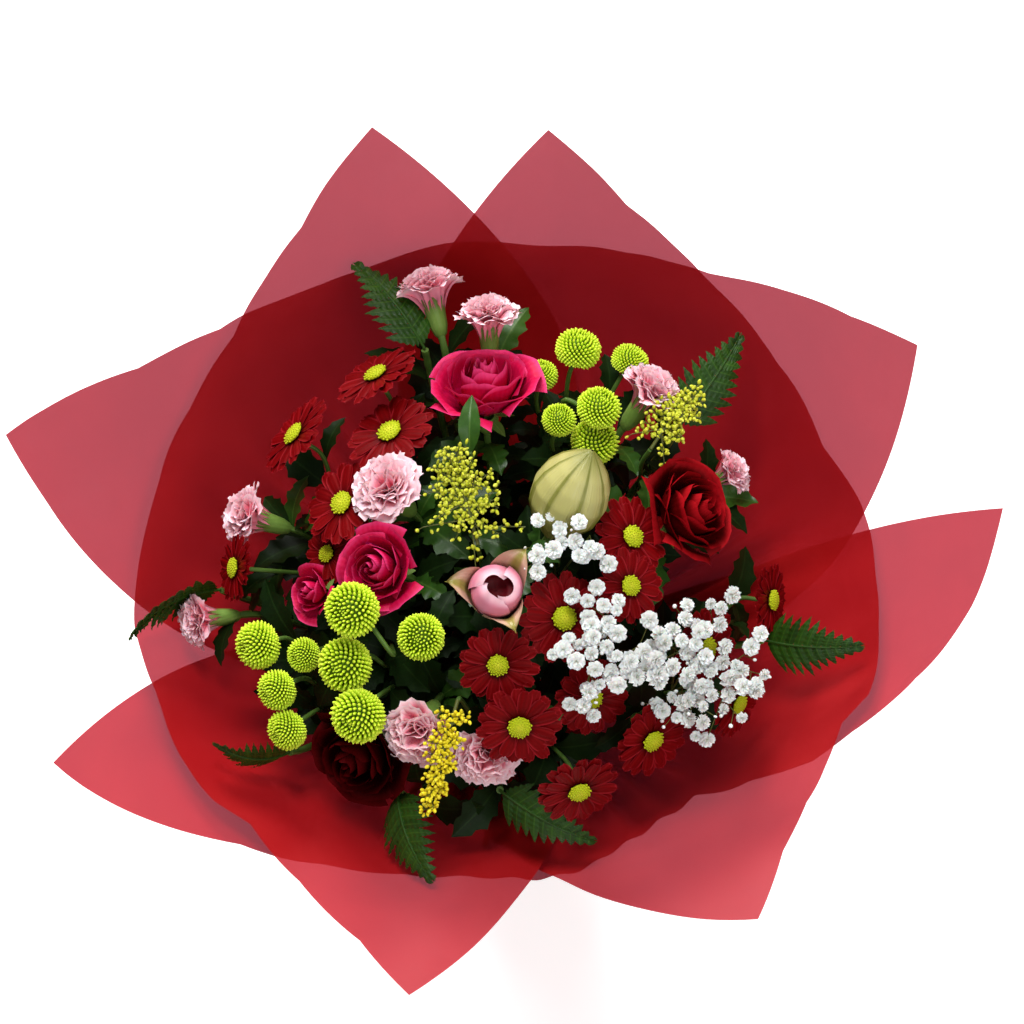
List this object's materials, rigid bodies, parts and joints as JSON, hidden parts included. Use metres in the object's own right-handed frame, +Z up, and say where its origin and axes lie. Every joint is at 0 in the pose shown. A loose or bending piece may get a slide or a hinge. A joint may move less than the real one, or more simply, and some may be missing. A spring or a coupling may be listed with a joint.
{
  "type": "wrapped mixed flower bouquet",
  "caption": "Upright hand-tied bouquet of mixed roses, carnations, chrysanthemums, lilies and fern in a flared red film wrapper, tied at the neck",
  "frame": {"origin": "middle of the bounding box's foot, on the surface the cut stems stand on", "axes": "+Z up along the bunch, the front film leans toward -Y"},
  "size_m": [0.5204, 0.4592, 0.4611],
  "materials": {
    "film": "frosted translucent film",
    "tie": "twisted twine",
    "stem_green": "fresh stem",
    "lime": "fresh petal",
    "hot_pink": "velvety petal",
    "dark_red": "velvety petal",
    "pale_pink": "soft petal",
    "cream": "waxy petal",
    "crimson": "fresh petal",
    "white": "fresh petal",
    "yellow_green": "fresh bud",
    "fern_green": "leathery leaf"
  },
  "bodies": {
    "root": {"rose_pink_1": "hot_pink", "rose_pink_2": "hot_pink", "rose_pink_3": "hot_pink", "rose_red_1": "dark_red", "rose_red_2": "dark_red", "carnation_1": "pale_pink", "carnation_2": "pale_pink", "carnation_3": "pale_pink", "carnation_4": "pale_pink", "carnation_5": "pale_pink", "carnation_6": "pale_pink", "carnation_7": "pale_pink", "carnation_8": "pale_pink", "carnation_9": "pale_pink", "lily_bud_closed": "cream", "lily_bud_opening": "cream", "daisy_1": "crimson", "daisy_2": "crimson", "daisy_3": "crimson", "daisy_4": "crimson", "daisy_5": "crimson", "daisy_6": "crimson", "daisy_7": "crimson", "daisy_8": "crimson", "daisy_9": "crimson", "daisy_10": "crimson", "daisy_11": "crimson", "daisy_12": "crimson", "daisy_13": "crimson", "daisy_14": "crimson", "daisy_15": "crimson", "daisy_16": "crimson", "daisy_17": "crimson", "pompon_spray_1": "lime", "pompon_spray_2": "lime", "pompon_spray_3": "lime", "fern_1": "fern_green", "fern_2": "fern_green", "fern_3": "fern_green", "fern_4": "fern_green", "fern_5": "fern_green", "fern_6": "fern_green", "fern_7": "fern_green", "leaf_1": "stem_green", "leaf_2": "stem_green", "solidago_1": "yellow_green", "solidago_2": "yellow_green", "solidago_3": "yellow_green", "gypsophila_1": "white", "gypsophila_2": "white", "gypsophila_3": "white", "stems": "stem_green", "wrap_left": "film", "wrap_right": "film", "wrap_back": "film", "wrap_front": "film", "tie": "tie"}
  },
  "joints": []
}
